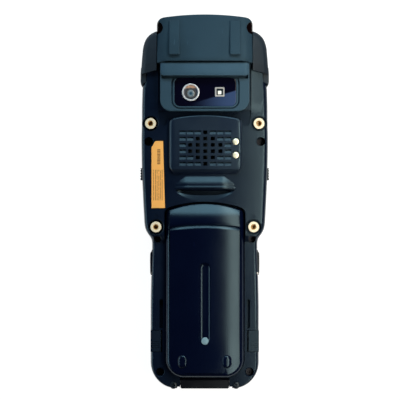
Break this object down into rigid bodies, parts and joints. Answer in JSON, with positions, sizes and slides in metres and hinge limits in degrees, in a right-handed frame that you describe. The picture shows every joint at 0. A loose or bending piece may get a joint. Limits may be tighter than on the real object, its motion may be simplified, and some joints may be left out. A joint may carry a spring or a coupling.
{
  "type": "portable barcode data terminal",
  "caption": "Rugged hand-held data terminal with a scan head, rear camera, speaker grille, brass grip inserts, lift-off battery, latches, port lids, side keys, screen and keypad.",
  "frame": {"origin": "on the resting plane, under the middle of the body, with the front bezel down", "axes": "+X to the right seen on the back with the scan head up, +Y from the bottom end to the scan head, +Z out of the back"},
  "size_m": [0.076, 0.2206, 0.0379],
  "materials": {
    "shell": "fine matt texture",
    "head_plastic": "fine matt texture",
    "bumper_rubber": "matt",
    "seal_rubber": "matt",
    "lid_rubber": "matt",
    "battery_plastic": "semi-gloss",
    "black_gloss": "polished",
    "lens_metal": "satin",
    "lens_glass": "coated",
    "led_white": "clear over white",
    "inner_black": "matt",
    "insert_brass": "turned",
    "steel": "plain",
    "gold_plate": "plated",
    "label_orange": "satin film",
    "display_glass": "polished",
    "display_dark": "switched off",
    "board_green": "solder mask",
    "scan_red": "polished",
    "cell_blue": "wrapped",
    "latch_plastic": "fine matt texture",
    "key_grey": "satin",
    "scan_orange": "satin",
    "power_red": "satin"
  },
  "bodies": {
    "housing": {"front_housing": "shell", "back_housing": "shell", "housing_seal": "seal_rubber", "head_bumper": "bumper_rubber", "head_cover": "head_plastic", "camera_visor": "head_plastic", "camera_frame": "head_plastic", "camera_window": "black_gloss", "camera_lens_ring": "lens_metal", "camera_lens": "lens_glass", "camera_module": "inner_black", "flash_frame": "lens_metal", "flash_led": "led_white", "speaker_grille": "shell", "speaker": "inner_black", "grip_inserts": "insert_brass", "case_screws": "steel", "grip_contacts": "gold_plate", "label_plate": "label_orange", "battery_terminals": "gold_plate", "display_window": "display_glass", "display_panel": "display_dark", "main_board": "board_green", "keypad_membrane": "seal_rubber", "key_domes": "steel", "scan_window": "scan_red", "scan_engine": "inner_black", "dock_connector": "inner_black", "usb_socket": "steel", "headset_jack": "inner_black", "lid_pins": "steel", "end_studs": "bumper_rubber", "side_switches": "steel"},
    "bottom_lid": {"bottom_lid": "lid_rubber"},
    "left_port_lid": {"left_port_lid": "lid_rubber"},
    "right_port_lid": {"right_port_lid": "lid_rubber"},
    "battery": {"battery_case": "battery_plastic", "battery_cells": "cell_blue", "battery_contacts": "gold_plate"},
    "left_latch": {"left_latch": "latch_plastic", "left_latch_spring": "steel"},
    "right_latch": {"right_latch": "latch_plastic", "right_latch_spring": "steel"},
    "left_side_key": {"left_side_key": "key_grey"},
    "right_side_key": {"right_side_key": "key_grey"},
    "scan_key": {"scan_key": "scan_orange"},
    "power_key": {"power_key": "power_red"},
    "nav_key": {"nav_key": "key_grey"},
    "key_1": {"key_1": "key_grey"},
    "key_2": {"key_2": "key_grey"},
    "key_3": {"key_3": "key_grey"},
    "key_4": {"key_4": "key_grey"},
    "key_5": {"key_5": "key_grey"},
    "key_6": {"key_6": "key_grey"},
    "key_7": {"key_7": "key_grey"},
    "key_8": {"key_8": "key_grey"},
    "key_9": {"key_9": "key_grey"},
    "key_clear": {"key_clear": "key_grey"},
    "key_0": {"key_0": "key_grey"},
    "key_enter": {"key_enter": "key_grey"}
  },
  "joints": [
    {"name": "bottom_lid_hinge", "type": "hinge", "parent": "housing", "child": "bottom_lid", "pos_m": [0, -0.1056, 0.0209], "axis": [-1, 0, 0], "range_deg": [0, 95]},
    {"name": "left_port_lid_hinge", "type": "hinge", "parent": "housing", "child": "left_port_lid", "pos_m": [-0.0309, -0.042, 0.0126], "axis": [0, 0, 1], "range_deg": [0, 100]},
    {"name": "right_port_lid_hinge", "type": "hinge", "parent": "housing", "child": "right_port_lid", "pos_m": [0.0309, -0.042, 0.0126], "axis": [0, 0, -1], "range_deg": [0, 100]},
    {"name": "battery_lift", "type": "slide", "parent": "housing", "child": "battery", "axis": [0, 0, 1], "range_m": [0, 0.03]},
    {"name": "left_latch_press", "type": "slide", "parent": "housing", "child": "left_latch", "axis": [1, 0, 0], "range_m": [0, 0.0007], "stiffness_N_per_m": 400, "springref_m": -0.0005, "deforming": ["left_latch_spring"]},
    {"name": "right_latch_press", "type": "slide", "parent": "housing", "child": "right_latch", "axis": [-1, 0, 0], "range_m": [0, 0.0007], "stiffness_N_per_m": 400, "springref_m": -0.0005, "deforming": ["right_latch_spring"]},
    {"name": "left_side_key_press", "type": "slide", "parent": "housing", "child": "left_side_key", "axis": [1, 0, 0], "range_m": [0, 0.0007], "stiffness_N_per_m": 500, "springref_m": -0.0005},
    {"name": "right_side_key_press", "type": "slide", "parent": "housing", "child": "right_side_key", "axis": [-1, 0, 0], "range_m": [0, 0.0007], "stiffness_N_per_m": 500, "springref_m": -0.0005},
    {"name": "scan_key_press", "type": "slide", "parent": "housing", "child": "scan_key", "axis": [0, 0, 1], "range_m": [0, 0.0005], "stiffness_N_per_m": 300, "springref_m": -0.0005},
    {"name": "power_key_press", "type": "slide", "parent": "housing", "child": "power_key", "axis": [0, 0, 1], "range_m": [0, 0.0005], "stiffness_N_per_m": 300, "springref_m": -0.0005},
    {"name": "nav_key_press", "type": "slide", "parent": "housing", "child": "nav_key", "axis": [0, 0, 1], "range_m": [0, 0.0005], "stiffness_N_per_m": 300, "springref_m": -0.0005},
    {"name": "key_1_press", "type": "slide", "parent": "housing", "child": "key_1", "axis": [0, 0, 1], "range_m": [0, 0.0005], "stiffness_N_per_m": 300, "springref_m": -0.0005},
    {"name": "key_2_press", "type": "slide", "parent": "housing", "child": "key_2", "axis": [0, 0, 1], "range_m": [0, 0.0005], "stiffness_N_per_m": 300, "springref_m": -0.0005},
    {"name": "key_3_press", "type": "slide", "parent": "housing", "child": "key_3", "axis": [0, 0, 1], "range_m": [0, 0.0005], "stiffness_N_per_m": 300, "springref_m": -0.0005},
    {"name": "key_4_press", "type": "slide", "parent": "housing", "child": "key_4", "axis": [0, 0, 1], "range_m": [0, 0.0005], "stiffness_N_per_m": 300, "springref_m": -0.0005},
    {"name": "key_5_press", "type": "slide", "parent": "housing", "child": "key_5", "axis": [0, 0, 1], "range_m": [0, 0.0005], "stiffness_N_per_m": 300, "springref_m": -0.0005},
    {"name": "key_6_press", "type": "slide", "parent": "housing", "child": "key_6", "axis": [0, 0, 1], "range_m": [0, 0.0005], "stiffness_N_per_m": 300, "springref_m": -0.0005},
    {"name": "key_7_press", "type": "slide", "parent": "housing", "child": "key_7", "axis": [0, 0, 1], "range_m": [0, 0.0005], "stiffness_N_per_m": 300, "springref_m": -0.0005},
    {"name": "key_8_press", "type": "slide", "parent": "housing", "child": "key_8", "axis": [0, 0, 1], "range_m": [0, 0.0005], "stiffness_N_per_m": 300, "springref_m": -0.0005},
    {"name": "key_9_press", "type": "slide", "parent": "housing", "child": "key_9", "axis": [0, 0, 1], "range_m": [0, 0.0005], "stiffness_N_per_m": 300, "springref_m": -0.0005},
    {"name": "key_clear_press", "type": "slide", "parent": "housing", "child": "key_clear", "axis": [0, 0, 1], "range_m": [0, 0.0005], "stiffness_N_per_m": 300, "springref_m": -0.0005},
    {"name": "key_0_press", "type": "slide", "parent": "housing", "child": "key_0", "axis": [0, 0, 1], "range_m": [0, 0.0005], "stiffness_N_per_m": 300, "springref_m": -0.0005},
    {"name": "key_enter_press", "type": "slide", "parent": "housing", "child": "key_enter", "axis": [0, 0, 1], "range_m": [0, 0.0005], "stiffness_N_per_m": 300, "springref_m": -0.0005}
  ]
}
